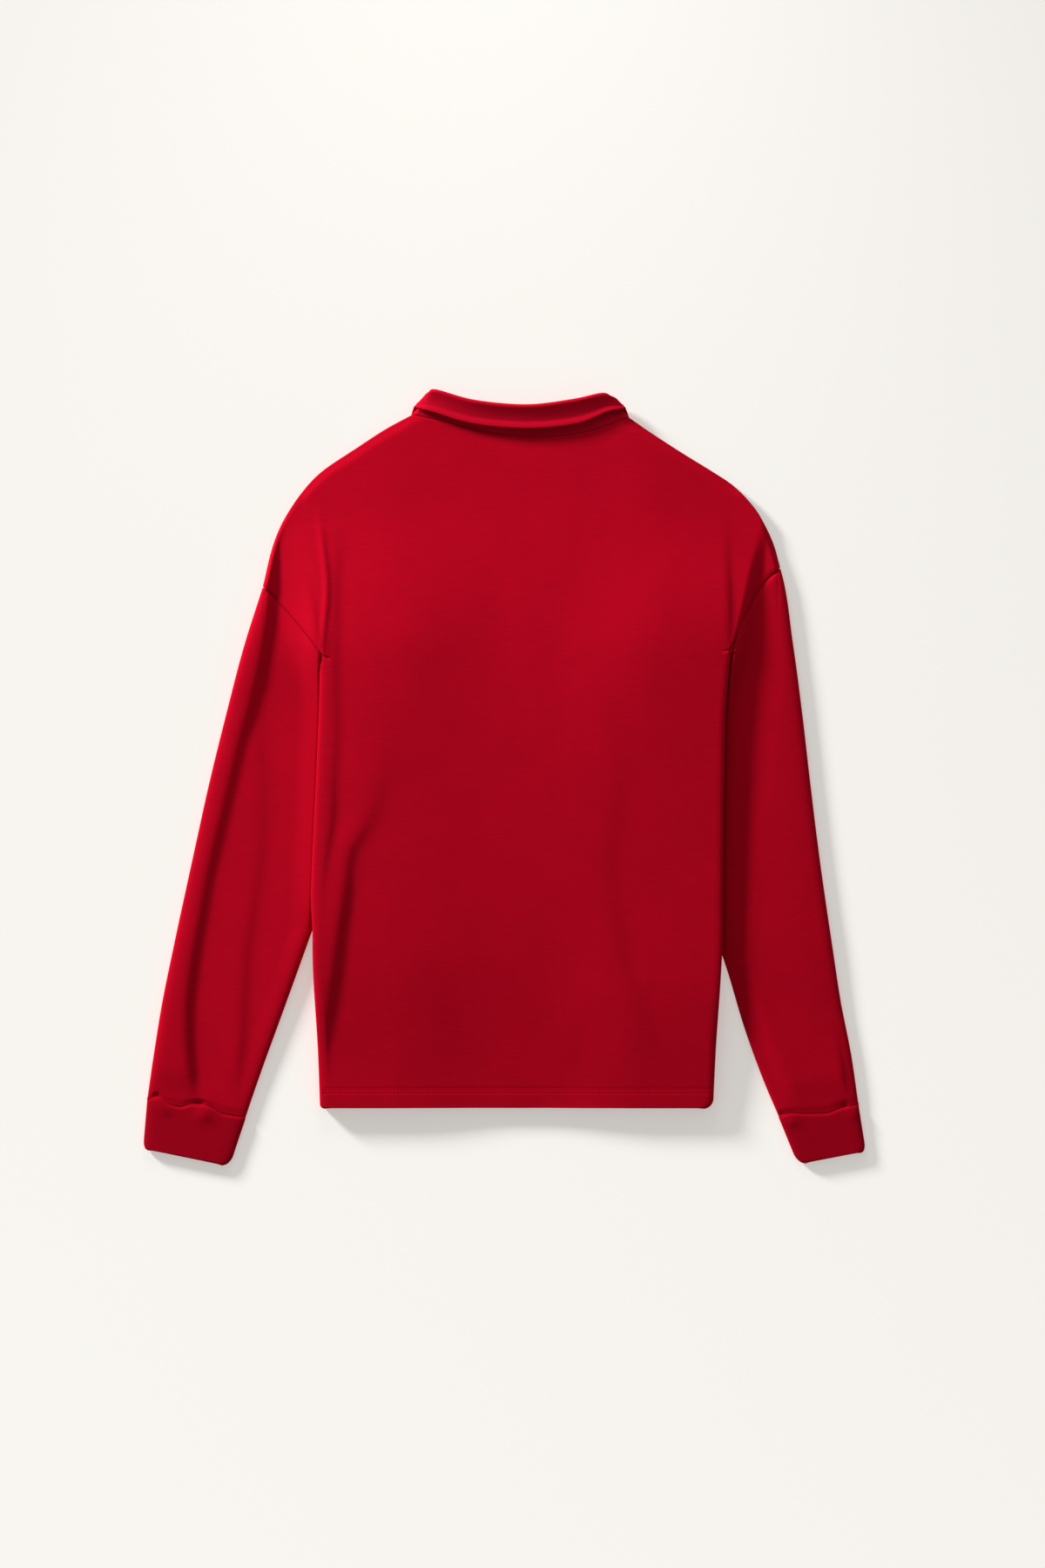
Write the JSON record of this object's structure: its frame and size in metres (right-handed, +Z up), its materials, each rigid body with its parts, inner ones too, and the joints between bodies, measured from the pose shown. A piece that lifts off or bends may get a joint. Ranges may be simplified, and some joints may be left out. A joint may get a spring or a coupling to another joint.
{
  "type": "polo sweatshirt laid flat",
  "caption": "Long-sleeved polo sweatshirt in red brushed jersey, laid flat on its front with its sides folded under, showing its back, folded collar and banded cuffs.",
  "frame": {"origin": "on the floor, under the middle of the bounding box", "axes": "+Z up from the floor, +Y from the hem towards the collar, +X towards the wearer's right sleeve as it lies back up"},
  "size_m": [0.7134, 0.7658, 0.022],
  "materials": {
    "jersey": "matte brushed knit with fine lengthwise streaks",
    "rib": "matte double band of the same knit",
    "collar_cloth": "matte close knit, folded",
    "button": "satin, dyed to match"
  },
  "bodies": {
    "root": {"back_panel": "jersey", "front_panel": "jersey", "sleeve_left": "jersey", "sleeve_right": "jersey", "cuff_left": "rib", "cuff_right": "rib", "collar": "collar_cloth", "placket": "jersey", "button_1": "button", "button_2": "button", "button_3": "button"}
  },
  "joints": []
}
